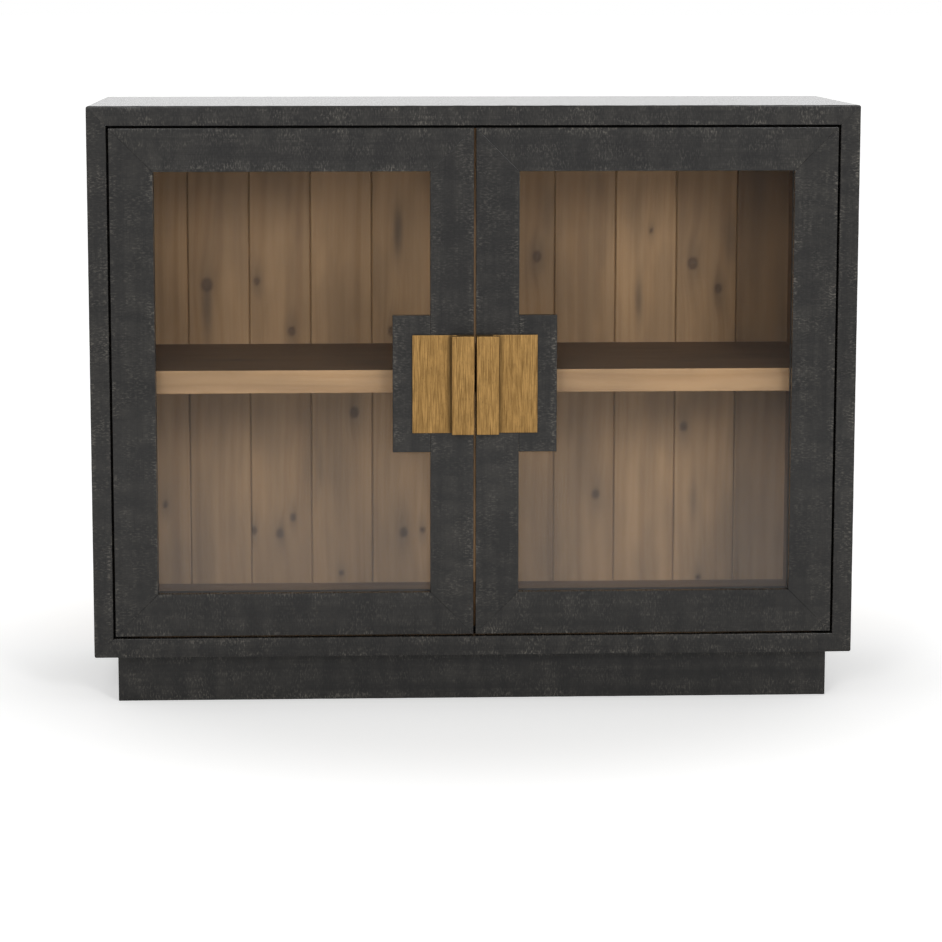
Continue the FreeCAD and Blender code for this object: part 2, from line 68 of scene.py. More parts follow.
scene = bpy.context.scene
scene.view_settings.view_transform = "Standard"
scene.view_settings.look = "None"

lens = bpy.data.cameras.new("camera")
lens.lens = 110.1
lens.sensor_width = 36.0
lens.shift_x = 0.03
lens.shift_y = -0.09
camera = bpy.data.objects.new("camera", lens)
# The camera stands left of the middle, before the front and above the top, and looks at mid height.
to_the_left, before_front, above_top = 0.218, 4.342, 0.164
eye = Vector((-to_the_left, FRONT_Y - before_front, TOP_Z + above_top))
aim = Vector((-0.049, FRONT_Y, 0.4945))
camera.location = eye
camera.rotation_mode = "QUATERNION"
camera.rotation_quaternion = (aim - eye).to_track_quat("-Z", "Y")
scene.collection.objects.link(camera)
scene.camera = camera


def lamp(name, place, towards, size, power):
    """An oblong area lamp at one place, turned towards another."""
    light = bpy.data.lights.new(name, "AREA")
    light.shape = "RECTANGLE"
    light.size, light.size_y = size
    light.energy = power
    holder = bpy.data.objects.new(name, light)
    holder.location = place
    holder.rotation_mode = "QUATERNION"
    holder.rotation_quaternion = (Vector(towards) - Vector(place)).to_track_quat("-Z", "Y")
    scene.collection.objects.link(holder)


middle = (0.0, 0.0, 0.55)
lamp("left_lamp", (-0.9, -3.1, 1.5), middle, (0.8, 0.8), 23.0)
lamp("right_lamp", (1.1, -3.1, 1.5), middle, (0.6, 0.6), 27.0)


def linear(hex_colour):
    """An sRGB hex colour as linear red, green, blue and an alpha of 1."""
    channels = [int(hex_colour[i:i + 2], 16) / 255 for i in (1, 3, 5)]
    light = [c / 12.92 if c <= 0.04045 else ((c + 0.055) / 1.055) ** 2.4 for c in channels]
    return (*light, 1.0)


def add(tree, kind, inputs, out=0, **settings):
    """Adds one node and returns one of its outputs, by number or name.

    inputs are the node's sockets, by number or name, each with its value or with the output that is
    linked into it; settings are the node's properties.
    """
    made = tree.nodes.new(f"ShaderNode{kind}")
    for key, value in settings.items():
        setattr(made, key, value)
    for key, value in inputs.items():
        if isinstance(value, bpy.types.NodeSocket):
            tree.links.new(value, made.inputs[key])
        else:
            made.inputs[key].default_value = value
    return made.outputs[out] if made.outputs else None


def new_material(name):
    """An empty material and its node tree."""
    material = bpy.data.materials.new(name)
    material.use_nodes = True
    material.node_tree.nodes.clear()
    return material, material.node_tree


# Two settings that most materials use. A smooth MapRange carries socket 0 from the range 1..2 to the
# range 3..4, or 0..1. A colour Mix goes from colour 6 to colour 7 by share 0, and gives output 2.
SMOOTH = {"interpolation_type": "SMOOTHSTEP"}
COLOUR = {"out": 2, "data_type": "RGBA"}

# The surround is white low down and grey overhead, so level faces get less light than upright ones.
world = bpy.data.worlds.new("white_surround")
world.use_nodes = True
tree = world.node_tree
tree.nodes.clear()
facing = add(tree, "TexCoord", {}, "Generated")
upward = add(tree, "SeparateXYZ", {0: facing}, "Z")
shade = add(tree, "MapRange", {0: upward, 1: 0.12, 2: 0.75}, **SMOOTH)
grey = add(tree, "Mix", {0: shade, 6: (1.0, 1.0, 1.0, 1.0), 7: (0.3, 0.3, 0.3, 1.0)}, **COLOUR)
add(tree, "OutputWorld", {"Surface": add(tree, "Background", {"Color": grey})})
scene.world = world

# The floor: a plain pale sweep, lit from below like a light table so that it stays white.
reach = 150.0
floor_mesh = bpy.data.meshes.new("floor")
floor_mesh.from_pydata(
    [(-reach, -reach, 0), (reach, -reach, 0), (reach, reach, 0), (-reach, reach, 0)], [], [(0, 1, 2, 3)]
)
floor = bpy.data.objects.new("floor", floor_mesh)
scene.collection.objects.link(floor)
pale, tree = new_material("pale_studio_floor")
away = add(tree, "VectorMath", {0: add(tree, "TexCoord", {}, "Object")}, "Value", operation="LENGTH")
glow = add(tree, "MapRange", {0: away, 1: 0.4, 2: 1.15, 3: 0.36, 4: 0.68}, **SMOOTH)
add(tree, "OutputMaterial", {"Surface": add(tree, "BsdfPrincipled", {
    "Base Color": linear("#f4f4f3"),
    "Roughness": 0.9,
    "Specular IOR Level": 0.0,
    "Emission Color": (1.0, 1.0, 1.0, 1.0),
    "Emission Strength": glow,
})})
floor_mesh.materials.append(pale)
floor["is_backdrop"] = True

# ---------------------------------------------------------------------------------------------
# The box: four 30 mm boards, mitred and glued at the corners. The timber is left as the band
# saw cut it, stained black and rubbed back a little, so the saw's ridges and the arrises are
# greyer. Each arris is eased by hand and wanders by a few tenths of a millimetre.
# ---------------------------------------------------------------------------------------------
def wander(along, seed, longest, amount):
    """A smooth uneven wave between 0 and amount.

    It is the sum of five sines with seeded phases, each 1.9 times shorter and 0.62 times as high as
    the one before. Their heights add up to under 2.7, so twice that brings the sum within one half.
    """
    picks = np.random.default_rng(seed)
    total = np.zeros_like(along)
    for step in range(5):
        length = longest / 1.9**step
        total = total + 0.62**step * np.sin(2 * np.pi * (along / length + picks.uniform()))
    return amount * (0.5 + total / (2 * 2.7))


def eased_outline(corners, ease, spacing):
    """A closed outline with its corners rounded.

    Each corner is (a, b) in metres, or (a, b, own ease). A convex one becomes a curve of five points,
    a quadratic one that starts and ends at the distance ease from the corner; a hollow one stays
    sharp. Straight runs are cut into steps no longer than spacing, with a 0.4 mm step at each end so
    that the arris shades crisply. Returns the points, their outward normals, the distance round to
    each, and how near an arris each is: e to the power of minus its distance over 9 mm.
    """
    short_step, least_run, edge_reach = 0.0004, 0.003, 0.009
    eases = [corner[2] if len(corner) > 2 else ease for corner in corners]
    corners = np.array([corner[:2] for corner in corners], float)
    after = np.roll(corners, -1, 0)
    before = np.roll(corners, 1, 0)
    area = np.sum(corners[:, 0] * after[:, 1] - after[:, 0] * corners[:, 1]) / 2
    turn = 1.0 if area > 0 else -1.0
    share = np.linspace(0, 1, 5)[:, None]
    points, hollow = [], []
    for here, last, following, radius in zip(corners, before, after, eases):
        arrive = (here - last) / np.linalg.norm(here - last)
        leave = (following - here) / np.linalg.norm(following - here)
        convex = (arrive[0] * leave[1] - arrive[1] * leave[0]) * turn > 0
        start, end = here - arrive * radius, here + leave * radius
        curve = (1 - share) ** 2 * start + 2 * share * (1 - share) * here + share**2 * end
        points.append(curve if convex else here[None, :])
        # A hollow corner is no arris, so a point counts as a metre further from it than it is.
        hollow += [0.0] * len(curve) if convex else [1.0]
    points = np.concatenate(points)
    filled, edge = [], []
    for point, onward, far, far_onward in zip(points, np.roll(points, -1, 0), hollow, np.roll(hollow, -1)):
        gap = np.linalg.norm(onward - point)
        steps = max(1, int(math.ceil(gap / spacing)))
        share = np.arange(steps) / steps
        if steps > 1 or gap > least_run:
            share = np.unique(np.append(share, [short_step / gap, 1 - short_step / gap]))
        filled.append(point + (onward - point) * share[:, None])
        edge.append(np.minimum(share * gap + far, (1 - share) * gap + far_onward))
    filled = np.concatenate(filled)
    tangent = np.roll(filled, -1, 0) - np.roll(filled, 1, 0)
    tangent /= np.linalg.norm(tangent, axis=1)[:, None]
    normal = np.stack([tangent[:, 1], -tangent[:, 0]], 1) * turn
    lengths = np.linalg.norm(np.roll(filled, -1, 0) - filled, axis=1)
    around = np.concatenate([[0], np.cumsum(lengths)[:-1]])
    return filled, normal, around, np.exp(-np.concatenate(edge) / edge_reach)


def closed_mesh(name, points, loops, stations, uv, extras):
    """Joins rings of points, one ring per station, into a closed skin with two flat ends.

    Face (i, j) joins points j and j + 1 of ring i to the same two of ring i + 1. The skin is turned
    outwards by the sign of the volume that its faces enclose, which is the sum over them of their
    corners' triple product.
    """
    i = np.arange(stations - 1)[:, None] * loops
    j = np.arange(loops)[None, :]
    k = (j + 1) % loops
    quads = np.stack([i + j, i + k, i + loops + k, i + loops + j], -1).reshape(-1, 4)
    ends = [list(range(loops))[::-1], list(range((stations - 1) * loops, stations * loops))]
    faces = quads.tolist() + ends
    centre = points.mean(0)
    corner = points[quads] - centre
    signed = np.einsum("ij,ij->i", corner[:, 0], np.cross(corner[:, 1], corner[:, 2])).sum()
    if signed < 0:
        faces = [face[::-1] for face in faces]
    mesh = bpy.data.meshes.new(name)
    mesh.from_pydata(points.tolist(), [], faces)
    layer = mesh.uv_layers.new(name="along_and_around")
    index = np.zeros(len(mesh.loops), np.int32)
    mesh.loops.foreach_get("vertex_index", index)
    flat_uv = uv[index].copy()
    # A ring's last face comes back to its first point; there the map goes on instead of starting over.
    last_face = np.arange(len(index)) // 4 % loops == loops - 1
    last_face[4 * len(quads):] = False
    full = uv[:, 1].max() + np.linalg.norm(points[loops - 1] - points[0])
    flat_uv[last_face & (index % loops == 0), 1] = full
    layer.data.foreach_set("uv", flat_uv.astype(np.float32).ravel())
    for label, values in extras.items():
        held = mesh.attributes.new(label, "FLOAT", "POINT")
        held.data.foreach_set("value", values.astype(np.float32))
    mesh.shade_smooth()
    mesh.set_sharp_from_angle(angle=math.radians(50))
    return mesh


def place_piece(name, mesh, body, material, node):
    """Links a piece, gives it its finish and its body, and hides the CAD node it stands for."""
    piece = bpy.data.objects.new(name, mesh)
    scene.collection.objects.link(piece)
    mesh.materials.append(material)
    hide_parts(node)
    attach(piece, body)


def long_board(name, origin, axes, length, corners, cuts, seed, ease=0.0012, wear=0.0003,
               spacing=0.009, step=0.006, field=None, draw_in=0.0002, blunt=0.0):
    """A board: an eased outline carried along a straight line, with square or mitred ends.

    origin is where the line starts; axes are the directions of the line, of a and of b. At each
    end the surface starts at cuts[end] * a along the line, so 1 is a mitre and 0 is square. The
    last half millimetre draws in by draw_in, which leaves a fine line at a joint. Arrises lose wear
    metres unevenly, in waves up to 70 mm long, and the faces are uneven by a third of that, in waves
    up to 190 mm along and 50 mm round. blunt rounds the outer corner at each end to that radius.
    field(along, outline) returns a shift of the map and more values for the points.
    """
    outline, normal, around, edge = eased_outline(corners, ease, spacing)
    count = max(4, int(length / step))
    lead = np.array([0.0, 0.0006, 0.0014, 0.0024, 0.0036, 0.005]) / length
    share = np.concatenate([lead, np.linspace(0, 1, count)[2:-2], 1 - lead[::-1]])
    draw = np.zeros(len(share))
    draw[[0, -1]] = draw_in
    start = cuts[0] * outline[:, 0]
    end = length - cuts[1] * outline[:, 0]
    along = start[None, :] + (end - start)[None, :] * share[:, None]
    rows = np.broadcast_to(around[None, :], along.shape)
    flat = wander(along, seed, 0.19, wear / 3) + wander(rows * 1.7 + along * 0.6, seed + 7, 0.05, wear / 3)
    loss = draw[:, None] + flat + edge[None, :] ** 3 * wander(along + rows, seed + 3, 0.07, wear)
    a = outline[None, :, 0] - normal[None, :, 0] * loss
    b = outline[None, :, 1] - normal[None, :, 1] * loss
    if blunt:
        for turned in (along, length - along):
            ahead, across = blunt - turned, blunt - a
            away = np.hypot(ahead, across)
            cut = (ahead > 0) & (across > 0) & (away > blunt)
            kept = np.where(cut, blunt / np.maximum(away, blunt), 1.0)
            shift = ahead * (1 - kept)
            along = along + np.where(cut, shift if turned is along else -shift, 0.0)
            a = blunt - across * kept
    line, side, deep = (np.array(axis, float) for axis in axes)
    points = (np.array(origin, float) + along[..., None] * line + a[..., None] * side
              + b[..., None] * deep)
    offset = np.random.default_rng(seed + 11).uniform(0, 20, 2)
    uv = np.stack([along + offset[0], rows + offset[1]], -1).reshape(-1, 2)
    extras = {"arris": np.broadcast_to(edge[None, :], along.shape).ravel()}
    if field:
        uv_shift, more = field(along, np.broadcast_to(outline[None], along.shape + (2,)))
        uv[:, 1] += uv_shift.ravel()
        extras.update({label: values.ravel() for label, values in more.items()})
    return closed_mesh(name, points.reshape(-1, 3), len(outline), len(share), uv, extras)


# Black-stained sawn timber: dull charcoal under a thin satin wax. The saw's ridges run across each
# board about 2.5 mm apart, the grain runs along it, and arrises and high spots are rubbed lighter.
# Each pattern is noise, with the length of its marks along the board and round it in millimetres.
black, tree = new_material("black_stained_sawn_timber")
coords = add(tree, "UVMap", {}, uv_map="along_and_around")
marks = {}
for mark, along, around, detail, rough in (
    ("ridges", 2.35, 6.7, 3.0, 0.65),
    ("swells", 22.0, 71.0, 3.0, 0.55),
    ("pores", 45.0, 1.4, 2.0, 0.55),
    ("bands", 450.0, 17.0, 2.0, 0.55),
    ("rubbed", 42.0, 29.0, 3.0, 0.6),
):
    mapped = add(tree, "Mapping", {"Vector": coords, "Scale": (1000 / along, 1000 / around, 1.0)})
    marks[mark] = add(tree, "TexNoise", {"Vector": mapped, "Scale": 1.0, "Detail": detail,
                                         "Roughness": rough})
arris = add(tree, "Attribute", {}, "Fac", attribute_name="arris")
high = add(tree, "MapRange", {0: marks["ridges"], 1: 0.48, 2: 0.66}, **SMOOTH)
worn = add(tree, "MapRange", {0: marks["rubbed"], 1: 0.43, 2: 0.63, 3: 0.18, 4: 0.85}, **SMOOTH)
near_edge = add(tree, "MapRange", {0: arris, 1: 0.1, 2: 1.0, 3: 0.4}, **SMOOTH)
worn_edge = add(tree, "Math", {0: worn, 1: near_edge}, operation="MULTIPLY")
swell = add(tree, "MapRange", {0: marks["swells"], 1: 0.35, 2: 0.7, 4: 0.1}, **SMOOTH)
lighter = add(tree, "Math", {0: high, 1: worn_edge, 2: swell}, operation="MULTIPLY_ADD")
colour = add(tree, "Mix", {0: lighter, 6: linear("#161514"), 7: linear("#5f5b54")}, **COLOUR)
band = add(tree, "MapRange", {0: marks["bands"], 1: 0.35, 2: 0.7, 4: 0.6}, **SMOOTH)
colour = add(tree, "Mix", {0: band, 6: colour, 7: linear("#0e0d0d")}, **COLOUR)
pore = add(tree, "MapRange", {0: marks["pores"], 1: 0.5, 2: 0.75, 4: 0.6}, **SMOOTH)
colour = add(tree, "Mix", {0: pore, 6: colour, 7: linear("#080808")}, **COLOUR)
height = add(tree, "Math", {0: marks["swells"], 1: 0.3, 2: marks["ridges"]}, operation="MULTIPLY_ADD")
# The wax hardly shows from in front but mirrors the bright surround at a low slant.
add(tree, "OutputMaterial", {"Surface": add(tree, "BsdfPrincipled", {
    "Base Color": colour,
    "Normal": add(tree, "Bump", {"Height": height, "Strength": 0.5, "Distance": 0.0009}),
    "Roughness": add(tree, "MapRange", {0: marks["ridges"], 1: 0.3, 2: 0.7, 3: 0.66, 4: 0.5}, **SMOOTH),
    "Specular IOR Level": 0.16,
    "Coat Weight": add(tree, "MapRange", {0: marks["ridges"], 1: 0.7, 2: 0.54, 3: 0.2, 4: 1.0}, **SMOOTH),
    "Coat Roughness": 0.12,
    "Coat IOR": 1.22,
})})

X, Y, Z = (1, 0, 0), (0, 1, 0), (0, 0, 1)
LEFTWARD, FORWARD, DOWN = (-1, 0, 0), (0, -1, 0), (0, 0, -1)
MITRED, SQUARE = (1, 1), (0, 0)


def oblong(wide, deep):
    """The corners of a plain board's section: wide from the outer edge in, deep from the front."""
    return [(0, 0), (wide, 0), (wide, deep), (0, deep)]


# The top and bottom boards are rebated behind for the back; lap is what is left of them there.
side_low, side_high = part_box("left_side_panel")
thick = side_high.x - side_low.x
deep = side_high.y - side_low.y
lap = thick - (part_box("back_board_01")[1].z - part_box("ceiling_board")[1].z)
rebate_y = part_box("back_board_01")[0].y - side_low.y
behind = [(0, 0), (thick, 0), (thick, rebate_y), (lap, rebate_y), (lap, deep), (0, deep)]
for name, origin, axes, length, section in (
    ("top_panel", (side_low.x, FRONT_Y, TOP_Z), (X, DOWN, Y), WIDTH, behind),
    ("bottom_panel", (side_low.x, FRONT_Y, side_low.z), (X, Z, Y), WIDTH, behind),
    ("left_side_panel", side_low, (Z, X, Y), TOP_Z - side_low.z, oblong(thick, deep)),
    ("right_side_panel", (-side_low.x, FRONT_Y, side_low.z), (Z, LEFTWARD, Y), TOP_Z - side_low.z,
     oblong(thick, deep)),
):
    mesh = long_board(name, origin, axes, length, section, MITRED, len(name), ease=0.0016, blunt=0.0045)
    place_piece(f"{name}_timber", mesh, "root", black, name)

# ---------------------------------------------------------------------------------------------
# The plinth: four 20 mm boards on edge, set back under the box and mitred at its corners, of
# the same black timber. Softwood blocks glued into the corners stay as they are.
# ---------------------------------------------------------------------------------------------
plinth_low, plinth_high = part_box("plinth_front")
plinth_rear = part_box("plinth_back")[1].y
board_thick = plinth_high.y - plinth_low.y
plinth_tall = plinth_high.z
plinth_wide = plinth_high.x - plinth_low.x
plinth_deep = plinth_rear - plinth_low.y
plinth_section = oblong(board_thick, plinth_tall)
for name, origin, axes, length in (
    ("plinth_front", plinth_low, (X, Y, Z), plinth_wide),
    ("plinth_back", (plinth_low.x, plinth_rear, 0), (X, FORWARD, Z), plinth_wide),
    ("plinth_left", plinth_low, (Y, X, Z), plinth_deep),
    ("plinth_right", (plinth_high.x, plinth_low.y, 0), (Y, LEFTWARD, Z), plinth_deep),
):
    mesh = long_board(name, origin, axes, length, plinth_section, MITRED, 40 + len(name))
    place_piece(f"{name}_timber", mesh, "root", black, name)

# Bare sawn softwood for the blocks: fibres 3 mm apart and 80 mm long, upright as the blocks stand.
softwood, tree = new_material("bare_sawn_softwood")
place = add(tree, "TexCoord", {}, "Object")
mapped = add(tree, "Mapping", {"Vector": place, "Scale": (1000 / 3.0, 1000 / 3.0, 1000 / 80.0)})
fibres = add(tree, "TexNoise", {"Vector": mapped, "Scale": 1.0, "Detail": 3.0})
fibre = add(tree, "MapRange", {0: fibres, 1: 0.35, 2: 0.65}, **SMOOTH)
add(tree, "OutputMaterial", {"Surface": add(tree, "BsdfPrincipled", {
    "Base Color": add(tree, "Mix", {0: fibre, 6: linear("#c2a173"), 7: linear("#96754a")}, **COLOUR),
    "Normal": add(tree, "Bump", {"Height": fibres, "Strength": 0.4, "Distance": 0.0005}),
    "Roughness": add(tree, "MapRange", {0: fibres, 1: 0.3, 2: 0.7, 3: 0.7, 4: 0.85}, **SMOOTH),
})})
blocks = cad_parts["plinth_corner_blocks"]
blocks.data.materials.clear()
blocks.data.materials.append(softwood)

# Waxed reclaimed pine: soft bands of late wood that bend a little round the knots, dark red-brown knots,
# and grey-brown streaks where iron or damp has stained it. Tone is how far it has darkened, and on some
# boards painted shade as well.
pine, tree = new_material("waxed_reclaimed_pine")
coords = add(tree, "UVMap", {}, uv_map="along_and_around")
marks = {}
for mark, along, around, detail, rough in (
    ("late_wood", 1100.0, 14.0, 2.0, 0.45),
    ("fibres", 170.0, 1.25, 2.0, 0.55),
    ("clouds", 200.0, 59.0, 3.0, 0.55),
):
    mapped = add(tree, "Mapping", {"Vector": coords, "Scale": (1000 / along, 1000 / around, 1.0)})
    marks[mark] = add(tree, "TexNoise", {"Vector": mapped, "Scale": 1.0, "Detail": detail,
                                         "Roughness": rough})
patches = add(tree, "MapRange", {0: marks["clouds"], 1: 0.35, 2: 0.65}, **SMOOTH)
early = add(tree, "Mix", {0: patches, 6: linear("#b8946a"), 7: linear("#a4845e")}, **COLOUR)
late = add(tree, "Mix", {0: patches, 6: linear("#a37e53"), 7: linear("#927351")}, **COLOUR)
band = add(tree, "MapRange", {0: marks["late_wood"], 1: 0.36, 2: 0.72, 4: 0.75}, **SMOOTH)
wood = add(tree, "Mix", {0: band, 6: early, 7: late}, **COLOUR)
fibre = add(tree, "MapRange", {0: marks["fibres"], 1: 0.45, 2: 0.8, 4: 0.22}, **SMOOTH)
wood = add(tree, "Mix", {0: fibre, 6: wood, 7: linear("#7d6044")}, **COLOUR)
tone = add(tree, "Attribute", {}, "Fac", attribute_name="tone")
wood = add(tree, "Mix", {0: tone, 6: wood, 7: linear("#3f2914")}, **COLOUR)
blackened = add(tree, "MapRange", {0: tone, 1: 1.2, 2: 1.8}, **SMOOTH)
wood = add(tree, "Mix", {0: blackened, 6: wood, 7: linear("#0e0d0c")}, **COLOUR)
stain = add(tree, "Attribute", {}, "Fac", attribute_name="stain")
wood = add(tree, "Mix", {0: stain, 6: wood, 7: linear("#45392d")}, **COLOUR)
knot = add(tree, "Attribute", {}, "Fac", attribute_name="knot")
wood = add(tree, "Mix", {0: knot, 6: wood, 7: linear("#38251a")}, **COLOUR)
add(tree, "OutputMaterial", {"Surface": add(tree, "BsdfPrincipled", {
    "Base Color": wood,
    "Normal": add(tree, "Bump", {"Height": marks["late_wood"], "Strength": 0.2, "Distance": 0.0003}),
    "Roughness": add(tree, "MapRange", {0: marks["fibres"], 1: 0.3, 2: 0.7, 3: 0.5, 4: 0.62}, **SMOOTH),
    "Specular IOR Level": 0.3,
})})


def pine_figure(tone_at, knots, streaks):
    """Makes the field of one pine board; tone_at(along, outline) is its tone.

    knots are (across, along, radius) in metres. Near each, the map across the grain is pushed by 1.5
    radii times a bell, e to the power of minus the squared distance, measured in 2.2 radii across and
    6.5 along, so that the bands close into rings. A knot's core is an ellipse a quarter longer than
    wide, with a darker rim. streaks are (across, along, half_width, half_length, depth): bells of
    dark stain. The grain itself wanders by two long sines, 3.5 and 2 mm high.
    """
    def field(along, outline):
        across = outline[..., 0]
        shift = 0.0035 * np.sin(along * 5.1 + across * 9.0) + 0.002 * np.sin(along * 13.0)
        dark = np.zeros_like(along)
        stained = np.zeros_like(along)
        for place, height, radius in knots:
            reach = ((across - place) / radius) ** 2 + ((along - height) / (1.25 * radius)) ** 2
            grain = ((across - place) / (2.2 * radius)) ** 2 + ((along - height) / (6.5 * radius)) ** 2
            shift = shift + 1.5 * radius * np.exp(-grain)
            ring = np.clip(1.5 - reach, 0, 1) * (0.5 + 0.4 * np.clip(reach, 0, 1))
            dark = np.maximum(dark, ring)
            stained = np.maximum(stained, 0.4 * np.exp(-grain * 1.1))
        for place, height, half_width, half_length, depth in streaks:
            reach = ((across - place) / half_width) ** 2 + ((along - height) / half_length) ** 2
            stained = np.maximum(stained, depth * np.exp(-reach))
        return shift, {"knot": dark, "stain": stained, "tone": tone_at(along, outline)}
    return field


def plain_pine(name, origin, axes, length, section, tone_at, knots, seed, body="root", ease=0.001):
    """A pine board with square ends, fine enough across for its knots to be round."""
    mesh = long_board(name, origin, axes, length, section, SQUARE, seed, ease=ease, spacing=0.006,
                      step=0.005, field=pine_figure(tone_at, knots, ()))
    place_piece(f"{name}_pine", mesh, body, pine, name)


# Each board's knots as (across, height, radius) and its streaks as (across, height, half width,
# half length, depth), in millimetres from the board's left edge and from the floor.
BACK_KNOTS = {
    1: ((59, 246, 4),),
    2: ((31, 612, 9),),
    3: ((12, 618, 5), (69, 535, 6), (4, 201, 5), (47, 196, 6), (69, 223, 5)),
    4: ((48, 128, 4), (71, 399, 7)),
    5: ((33, 535, 6), (52, 196, 6), (83, 200, 4)),
    7: ((71, 657, 7),),
    8: ((70, 259, 6),),
    9: ((58, 700, 3),),
    10: ((27, 645, 8), (70, 603, 6), (15, 372, 6), (42, 116, 4)),
}
BACK_STREAKS = {
    2: ((31, 585, 10, 60, 0.7), (60, 330, 28, 70, 0.16)),
    3: ((50, 790, 26, 60, 0.2),),
    4: ((14, 308, 8, 45, 0.42), (38, 290, 12, 60, 0.16)),
    5: ((43, 698, 8, 48, 0.75), (85, 400, 5, 25, 0.4)),
    7: ((88, 730, 9, 60, 0.25),),
    8: ((40, 300, 24, 90, 0.2),),
    9: ((39, 586, 7, 42, 0.6), (30, 720, 14, 60, 0.2)),
    10: ((33, 249, 7, 40, 0.45), (88, 690, 9, 50, 0.45)),
    11: ((35, 800, 14, 90, 0.45), (75, 560, 10, 130, 0.3)),
}
# How dark each board has gone, from 0, fresh, to 1.
# Board 6, behind the meeting stiles, is darker partly as older stock and partly as painted shade, so that
# the gap between the doors reads dark.
BACK_TONES = (0.20, 0.26, 0.26, 0.17, 0.14, 0.48, 0.28, 0.24, 0.10, 0.16, 0.50)
# A board's V is 1.8 mm; its tongue is 5 mm long and runs from 5.25 to 9.25 mm of its thickness. The
# last board has no tongue.
vee, near, far = 0.0018, 0.00525, 0.00925
last_board = len(BACK_TONES)
for number, base in enumerate(BACK_TONES, 1):
    name = f"back_board_{number:02d}"
    low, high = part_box(name)
    tongue = 0.005 if number < last_board else 0.0
    wide, deep_board, tall = high.x - low.x - tongue, high.y - low.y, high.z - low.z
    section = [(vee, 0), (wide - vee, 0), (wide, vee)]
    if tongue:
        section += [(wide, near), (wide + tongue, near), (wide + tongue, far), (wide, far)]
    section += [(wide, deep_board), (0, deep_board), (0, vee)]
    knots = [(a / 1000, z / 1000 - low.z, r / 1000) for a, z, r in BACK_KNOTS.get(number, ())]
    streaks = [
        (a / 1000, z / 1000 - low.z, w / 1000, h / 1000, depth)
        for a, z, w, h, depth in BACK_STREAKS.get(number, ())
    ]
    # The last two boards darken more towards the top than the others: partly darker wood, partly stronger
    # painted shade.
    rise = 0.7 if number >= last_board - 1 else 0.45

    def inner_face_with_painted_shade(along, outline, base=base, rise=rise, tall=tall, rear=deep_board - 0.0005):
        """The waxed inner face carries painted shade, darker towards the top and lighter low down; the
        rear face is bare and more even.
        """
        inside = base + rise * np.clip(along / tall - 0.45, -0.35, 0.55)
        return np.where(outline[..., 1] > rear, 0.04 + 0.45 * base, inside)

    mesh = long_board(name, low, (Z, X, Y), tall, section, SQUARE, 60 + number, ease=0.0002,
                      wear=0.0002, spacing=0.003, step=0.004,
                      field=pine_figure(inner_face_with_painted_shade, knots, streaks))
    place_piece(f"{name}_pine", mesh, "root", pine, name)

# The floor, ceiling and side boards that line the box are thin pine, laid with the grain along; their
# front edges are coloured black.
def black_front(base):
    """The tone base, but black, which is a tone of 2, on the front 1.2 mm of the depth."""
    return lambda along, outline: np.where(outline[..., 0] < 0.0012, 2.0, base)


for name, seed, tone, knots in (
    ("floor_board", 81, 0.55, ((0.11, 0.22, 0.006), (0.20, 0.74, 0.008), (0.10, 0.95, 0.006))),
    ("ceiling_board", 82, 0.45, ((0.18, 0.30, 0.007),)),
):
    low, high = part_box(name)
    plain_pine(name, low, (X, Y, Z), high.x - low.x, oblong(high.y - low.y, high.z - low.z),
               black_front(tone), knots, seed)
# The side linings are dark, a tone of 0.75, partly as painted shade on the narrow strip that shows beside
# the door.
for name, seed, knots in (
    ("left_lining", 83, ((0.08, 0.52, 0.007), (0.25, 0.21, 0.006))),
    ("right_lining", 84, ((0.21, 0.61, 0.007), (0.31, 0.33, 0.005))),
):
    low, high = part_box(name)
    plain_pine(name, low, (Z, Y, X), high.z - low.z, oblong(high.y - low.y, high.x - low.x),
               black_front(0.75), knots, seed)

# ---------------------------------------------------------------------------------------------
# The shelf: one thick pine board that lies loose on four pegged supports. Its front arrises
# are just taken off, and its front face is the palest pine of all.
# ---------------------------------------------------------------------------------------------
low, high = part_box("shelf_board")
shelf_knots = [(0.13, 0.17, 0.008), (0.21, 0.62, 0.009), (0.09, 0.88, 0.006)]


def dark_faces_and_painted_shade(along, outline):
    """Dark wide faces, partly darker wax and partly painted shade, as light reaches the top only at a low
    slant; the sawn front edge, the first 0.6 mm, stays pale.
    """
    return np.where(outline[..., 0] > 0.0006, 0.8, 0.28)


plain_pine("shelf_board", low, (X, Y, Z), high.x - low.x, oblong(high.y - low.y, high.z - low.z),
           dark_faces_and_painted_shade, shelf_knots, 85, body="shelf", ease=0.0012)

# ---------------------------------------------------------------------------------------------
# The doors: each a frame of four black members, 66 mm wide, mitred and rebated behind for the
# glass, with a stepped block glued to the meeting stile at mid height.
# ---------------------------------------------------------------------------------------------
def bored(mesh, places, radius, start, end):
    """Cuts round holes into a mesh along the depth, each centred on an (x, z) of places.

    Each hole is a prism of 64 sides: a ring of points on the circle at start and another at end.
    """
    scratch = bpy.data.objects.new("scratch", mesh)
    scene.collection.objects.link(scratch)
    sides = 64
    turn = np.linspace(0, 2 * np.pi, sides, endpoint=False)
    spent = [scratch]
    for x, z in places:
        ring = np.stack([x + radius * np.cos(turn), np.full(sides, start), z + radius * np.sin(turn)], 1)
        points = np.concatenate([ring, ring + (0, end - start, 0)])
        i = np.arange(sides)
        walls = np.stack([i, i + sides, (i + 1) % sides + sides, (i + 1) % sides], 1).tolist()
        cutter_mesh = bpy.data.meshes.new("cutter")
        cutter_mesh.from_pydata(points.tolist(), [], walls + [i.tolist(), (i[::-1] + sides).tolist()])
        cutter = bpy.data.objects.new("cutter", cutter_mesh)
        scene.collection.objects.link(cutter)
        spent.append(cutter)
        cut = scratch.modifiers.new("cut", "BOOLEAN")
        cut.object = cutter
        cut.solver = "EXACT"
    graph = bpy.context.evaluated_depsgraph_get()
    whole = scratch.evaluated_get(graph)
    result = bpy.data.meshes.new_from_object(whole, preserve_all_data_layers=True, depsgraph=graph)
    for item in spent:
        bpy.data.objects.remove(item)
    result.set_sharp_from_angle(angle=math.radians(50))
    return result


